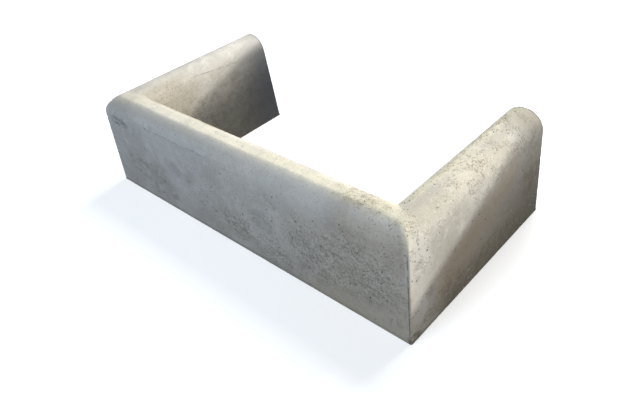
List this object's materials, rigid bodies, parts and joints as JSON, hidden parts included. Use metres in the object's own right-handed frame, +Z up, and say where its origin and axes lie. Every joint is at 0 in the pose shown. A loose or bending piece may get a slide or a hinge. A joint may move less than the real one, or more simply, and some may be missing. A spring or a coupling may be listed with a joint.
{
  "type": "concrete gully surround",
  "caption": "U-shaped cast concrete kerb with a rounded top and battered inner faces, bedded around a drain gully against a wall to contain splash water.",
  "frame": {"origin": "on the ground, under the middle of the outer box", "axes": "+X along the front wall, +Y from the front wall to the free ends of the arms, +Z up"},
  "size_m": [0.56, 0.29, 0.15],
  "materials": {
    "concrete": "pale warm grey cast concrete, matt, with small air pits and weathered stains"
  },
  "bodies": {
    "root": {"gully_surround": "concrete"}
  },
  "joints": []
}
